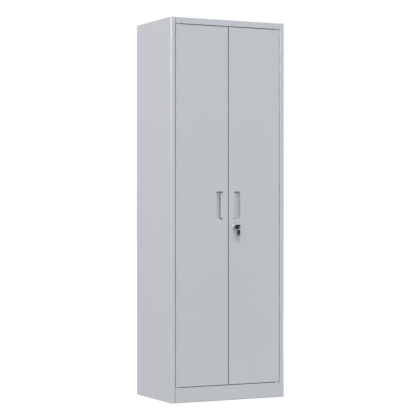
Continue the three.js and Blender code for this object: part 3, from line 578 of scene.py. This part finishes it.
def makeCatchPlates():
    p = polePlate
    low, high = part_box("magnetic_catch")
    middle = (low + high) / 2
    size = Vector((p["length"], p["deep"], p["thick"]))
    bm = bmesh.new()
    for side in (-1, 1):
        place = Vector((middle.x, low.y + size.y / 2 - p["proud"], middle.z + side * p["apart"] / 2))
        made = bmesh.ops.create_cube(bm, size=1)
        bmesh.ops.scale(bm, vec=size, verts=made["verts"])
        bmesh.ops.translate(bm, vec=place, verts=made["verts"])
    bmesh.ops.bevel(
        bm, geom=bm.edges[:], offset=p["edge"], segments=2, profile=0.5, affect="EDGES", material=-1,
    )
    newPiece("catch_pole_plates", bm, "carcass", "zinc_steel")


makeCatchPlates()
print("welds and catch finished")

# Floor, light and camera
studio = {
    "floorSize": 60, "floorGap": 0.5 * mm, "floorShade": (0.95, 0.95, 0.95), "white": 1.05,
    "roomColour": (0.975, 0.98, 1.0), "shineFill": 0.4,
    "room": (("Z", 1, 1.55), ("Y", -1, 0.65), ("X", -1, 0.60)),
}
camera = {
    "place": (-3.22582, -6.50874, 0.89250), "turn": -26.3286, "tilt": 0.060, "focal": 1498.02, "frame": 420,
    "sensor": 36, "reach": 100,
}
lights = [
    {"name": "front_soft", "place": (0, -7.5, 7.5), "aim": (0, 0, 0.9), "size": (3.0, 3.0), "power": 140,
     "colour": (1.0, 0.94, 0.84)},
    {"name": "left_side", "place": (-4.6, -0.2, 2.7), "aim": (0, 0, 1.5), "size": (0.8, 0.8), "power": 44,
     "colour": (1.0, 0.80, 0.84)},
    {"name": "fold_glint", "place": (-4.3, -2.2, 2.5), "aim": (0, 0, 1.5), "size": (2.8, 0.8), "power": 700,
     "colour": (0.945, 1.0, 0.985), "foldsOnly": True},
    {"name": "behind", "place": (2.6, 5.0, 3.0), "aim": (0, 0, 0.9), "size": (2.0, 2.0), "power": 90,
     "colour": (1.0, 0.99, 0.98)},
]


# The floor's own bounce stays off the object, as on a cut-out picture
def makeStage():
    bm = bmesh.new()
    bmesh.ops.create_grid(bm, x_segments=2, y_segments=2, size=studio["floorSize"] / 2)
    bmesh.ops.translate(bm, verts=bm.verts, vec=(0, 0, cadLow.z - studio["floorGap"]))
    mesh = bpy.data.meshes.new("pale_floor")
    bm.to_mesh(mesh)
    bm.free()
    floor = bpy.data.objects.new("pale_floor", mesh)
    bpy.context.scene.collection.objects.link(floor)
    mesh.materials.append(newMaterial("pale_floor", studio["floorShade"], 0.9, 0)[0])
    floor.visible_diffuse = False
    floor.visible_glossy = False


# A room that is brightest overhead and darkest behind and to the right. Reflections see it lighter, and the
# camera sees plain white.
def makeRoom():
    world = bpy.data.worlds.new("white_room")
    bpy.context.scene.world = world
    world.use_nodes = True
    tree = world.node_tree
    rays = tree.nodes.new("ShaderNodeLightPath")
    way = tree.nodes.new("ShaderNodeSeparateXYZ")
    tree.links.new(tree.nodes.new("ShaderNodeTexCoord").outputs["Generated"], way.inputs[0])
    glow = spread(tree, rays.outputs["Is Glossy Ray"], 0, studio["shineFill"], 0, 1)
    for axis, end, strength in studio["room"]:
        both = tree.nodes.new("ShaderNodeMath")
        tree.links.new(glow, both.inputs[0])
        tree.links.new(spread(tree, way.outputs[axis], 0, strength, 0, end), both.inputs[1])
        glow = both.outputs[0]
    room = tree.nodes["Background"]
    room.inputs["Color"].default_value = (*studio["roomColour"], 1)
    tree.links.new(glow, room.inputs["Strength"])
    white = tree.nodes.new("ShaderNodeBackground")
    white.inputs["Strength"].default_value = studio["white"]
    white.inputs["Color"].default_value = (1, 1, 1, 1)
    mix = tree.nodes.new("ShaderNodeMixShader")
    tree.links.new(rays.outputs["Is Camera Ray"], mix.inputs[0])
    tree.links.new(room.outputs[0], mix.inputs[1])
    tree.links.new(white.outputs[0], mix.inputs[2])
    tree.links.new(mix.outputs[0], tree.nodes["World Output"].inputs[0])


# The glint light shows only in the side panels' reflections, along their front folds. Elsewhere it would burn
# out the lock and the keys, and, seen from the right, the tops of the doors.
def makeLights():
    folds = bpy.data.collections.new("folds")
    for hand in ("left", "right"):
        folds.objects.link(bpy.data.objects[hand + "_side_panel_sheet"])
    for p in lights:
        data = bpy.data.lights.new(p["name"], "AREA")
        data.shape = "RECTANGLE"
        data.size, data.size_y = p["size"]
        data.energy = p["power"]
        data.color = p["colour"]
        lamp = bpy.data.objects.new(p["name"], data)
        bpy.context.scene.collection.objects.link(lamp)
        lamp.location = p["place"]
        if p.get("foldsOnly"):
            lamp.visible_diffuse = False
            lamp.light_linking.receiver_collection = folds
        toward = Vector(p["aim"]) - Vector(p["place"])
        lamp.rotation_euler = toward.to_track_quat("-Z", "Y").to_euler()


def makeCamera():
    data = bpy.data.cameras.new("photo_camera")
    data.sensor_width = camera["sensor"]
    data.lens = camera["focal"] / camera["frame"] * camera["sensor"]
    data.clip_end = camera["reach"]
    viewer = bpy.data.objects.new("photo_camera", data)
    bpy.context.scene.collection.objects.link(viewer)
    viewer.location = camera["place"]
    viewer.rotation_euler = (math.radians(90 + camera["tilt"]), 0, math.radians(camera["turn"]))
    bpy.context.scene.camera = viewer


makeStage()
makeRoom()
makeLights()
makeCamera()
bpy.context.scene.view_settings.view_transform = "Standard"
print("stage, light and camera ready")

bpy.context.view_layer.update()
